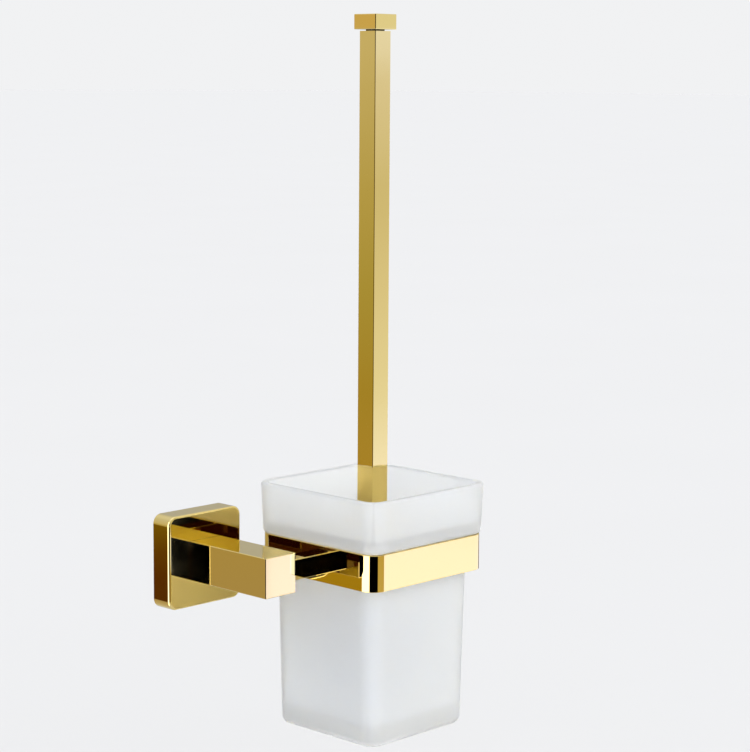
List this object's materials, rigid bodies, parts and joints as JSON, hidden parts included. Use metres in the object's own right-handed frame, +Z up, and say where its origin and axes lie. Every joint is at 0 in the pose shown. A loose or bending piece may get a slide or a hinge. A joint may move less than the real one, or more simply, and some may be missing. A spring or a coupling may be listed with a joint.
{
  "type": "toilet brush holder",
  "caption": "Wall-mounted toilet brush holder: a square flange, arm and ring carry a frosted glass cup, and a brush with a square handle stands in it.",
  "frame": {"origin": "on the wall, at the centre between the wall bracket's two screw holes, which is the flange's centre and lies on the arm's axis", "axes": "+X along the wall from the arm towards the cup, +Y into the wall, +Z up; the object stands out towards -Y"},
  "size_m": [0.1468, 0.1058, 0.3807],
  "materials": {
    "polished_gold": "mirror-polished gold plating",
    "frosted_glass": "frosted",
    "zinc_steel": "zinc plated",
    "stainless": "plain stainless",
    "plain_brass": "machined",
    "white_plastic": "moulded",
    "black_nylon": "moulded",
    "white_nylon": "bristles"
  },
  "bodies": {
    "wall_side": {"wall_bracket": "zinc_steel", "flange_cover": "polished_gold", "flange_set_screw": "stainless", "arm": "polished_gold", "arm_screw": "zinc_steel", "arm_washer": "zinc_steel", "arm_locating_pin": "zinc_steel", "link_bar": "polished_gold", "link_stud": "zinc_steel", "holder_ring": "polished_gold", "ring_screw": "stainless"},
    "cup": {"glass_cup": "frosted_glass"},
    "brush": {"handle_tube": "polished_gold", "handle_cap": "polished_gold", "cap_washer": "black_nylon", "cap_insert": "plain_brass", "cap_stud": "zinc_steel", "head_insert": "plain_brass", "head_stud": "zinc_steel", "brush_core": "white_plastic", "side_tufts": "white_nylon", "end_tufts": "white_nylon"}
  },
  "joints": [
    {"name": "cup_lift", "type": "slide", "parent": "wall_side", "child": "cup", "axis": [0, 0, 1], "range_m": [0, 0.125]},
    {"name": "brush_lift", "type": "slide", "parent": "cup", "child": "brush", "axis": [0, 0, 1], "range_m": [0, 0.15]}
  ]
}
